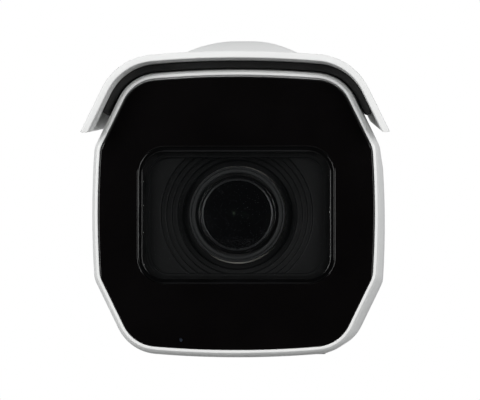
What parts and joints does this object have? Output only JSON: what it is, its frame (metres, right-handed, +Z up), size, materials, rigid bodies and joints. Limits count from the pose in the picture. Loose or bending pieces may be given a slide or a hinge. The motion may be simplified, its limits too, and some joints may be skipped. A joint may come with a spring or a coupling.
{
  "type": "security camera",
  "caption": "Wall-mounted bullet security camera with a sliding sun shield, flat dark front with a lens window, and a pan, tilt and roll bracket.",
  "frame": {"origin": "centre of the wall base plate's back face, on the wall plane", "axes": "+Y into the wall, -Y the way the camera looks, +Z up"},
  "size_m": [0.0984, 0.29, 0.1054],
  "materials": {
    "white_metal": "fine satin white powder coat",
    "black_panel": "polished, infrared-passing",
    "black_plastic": "fine matt",
    "window": "clear, coated",
    "lens_glass": "multi-coated",
    "black_rubber": "soft matt",
    "hood_rubber": "dark grey silicone",
    "steel": "zinc plated",
    "retaining_ring": "black anodised",
    "chassis_metal": "plain",
    "gear_plastic": "moulded",
    "circuit_board": "solder mask",
    "chip": "package with cover glass",
    "led": "clear encapsulant",
    "reflector": "metallised"
  },
  "bodies": {
    "base": {"wall_base": "white_metal", "base_gasket": "black_rubber", "pan_lock_screw": "steel"},
    "swivel": {"pan_swivel": "white_metal", "pan_retainer": "steel", "pan_washer": "steel", "tilt_bolt": "steel", "tilt_nut": "steel", "tilt_washers": "steel"},
    "arm": {"tilt_arm": "white_metal"},
    "camera": {"rear_cap": "white_metal", "corner_screws": "steel", "end_seals": "black_rubber", "cable_gland_body": "black_plastic", "cable_gland_nut": "black_plastic", "gland_grommet": "black_rubber", "breather_vent": "black_plastic", "housing": "white_metal", "cover_gasket": "black_rubber", "service_cover": "white_metal", "cover_screws": "steel", "front_bezel": "white_metal", "front_panel": "black_panel", "window_frame": "black_plastic", "window_glass": "window", "window_seal": "black_rubber", "lens_baffle": "black_plastic", "baffle_screws": "steel", "light_sensor": "chip", "led_board": "circuit_board", "ir_leds": "led", "led_reflectors": "reflector", "lens_hood_ring": "hood_rubber", "lens_barrel": "black_plastic", "aperture_stop": "black_plastic", "lens_motors": "steel", "lens_mount": "chassis_metal", "ir_cut_housing": "black_plastic", "sensor_board": "circuit_board", "image_sensor": "chip", "chassis": "chassis_metal", "main_board": "circuit_board", "board_parts": "black_plastic", "roll_lock_ring": "white_metal", "shield_screws": "steel"},
    "focus_group": {"focus_cell": "black_plastic", "front_element": "lens_glass", "lens_retaining_ring": "retaining_ring", "inner_element": "lens_glass"},
    "zoom_group": {"zoom_cell": "black_plastic", "zoom_element": "lens_glass"},
    "focus_ring": {"focus_ring": "gear_plastic"},
    "zoom_ring": {"zoom_ring": "gear_plastic"},
    "focus_pinion": {"focus_pinion": "gear_plastic"},
    "zoom_pinion": {"zoom_pinion": "gear_plastic"},
    "ir_cut_slider": {"ir_cut_slider": "lens_glass"},
    "sd_card": {"sd_card": "black_plastic"},
    "reset_button": {"reset_button": "gear_plastic"},
    "shield": {"sunshield": "white_metal", "shield_foam_strip": "black_rubber"}
  },
  "joints": [
    {"name": "pan", "type": "hinge", "parent": "base", "child": "swivel", "pos_m": [0, -0.011, 0], "axis": [0, 1, 0], "range_deg": [-180, 180]},
    {"name": "tilt", "type": "hinge", "parent": "swivel", "child": "arm", "pos_m": [0, -0.06, 0], "axis": [1, 0, 0], "range_deg": [0, 90]},
    {"name": "roll", "type": "hinge", "parent": "arm", "child": "camera", "pos_m": [0, -0.1, 0], "axis": [0, 1, 0], "range_deg": [-180, 180]},
    {"name": "shield_slide", "type": "slide", "parent": "camera", "child": "shield", "axis": [0, -1, 0], "range_m": [-0.01, 0.01]},
    {"name": "focus_turn", "type": "hinge", "parent": "camera", "child": "focus_ring", "pos_m": [0, -0.2585, -0.00045], "axis": [0, -1, 0], "range_deg": [-45, 45]},
    {"name": "focus_travel", "type": "slide", "parent": "camera", "child": "focus_group", "axis": [0, -1, 0], "range_m": [-0.0008, 0.0008]},
    {"name": "focus_pinion_turn", "type": "hinge", "parent": "camera", "child": "focus_pinion", "pos_m": [0.0231, -0.2585, -0.00045], "axis": [0, -1, 0], "range_deg": [-127.6, 127.6]},
    {"name": "zoom_turn", "type": "hinge", "parent": "camera", "child": "zoom_ring", "pos_m": [0, -0.2425, -0.00045], "axis": [0, -1, 0], "range_deg": [0, 100]},
    {"name": "zoom_travel", "type": "slide", "parent": "camera", "child": "zoom_group", "axis": [0, -1, 0], "range_m": [0, 0.0081]},
    {"name": "zoom_pinion_turn", "type": "hinge", "parent": "camera", "child": "zoom_pinion", "pos_m": [-0.0231, -0.2425, -0.00045], "axis": [0, -1, 0], "range_deg": [-283.5, 0]},
    {"name": "ir_cut_shift", "type": "slide", "parent": "camera", "child": "ir_cut_slider", "axis": [1, 0, 0], "range_m": [0, 0.009]},
    {"name": "card_slide", "type": "slide", "parent": "camera", "child": "sd_card", "axis": [-1, 0, 0], "range_m": [0, 0.012]},
    {"name": "reset_press", "type": "slide", "parent": "camera", "child": "reset_button", "axis": [0, 0, 1], "range_m": [0, 0.0005], "stiffness_N_per_m": 2000}
  ],
  "couplings": [
    {"joint": "focus_travel", "follows": "focus_turn", "m_per_rad": 0.0010186},
    {"joint": "focus_pinion_turn", "follows": "focus_turn", "ratio": -2.8333},
    {"joint": "zoom_travel", "follows": "zoom_turn", "m_per_rad": 0.0045837},
    {"joint": "zoom_pinion_turn", "follows": "zoom_turn", "ratio": -2.8333}
  ]
}
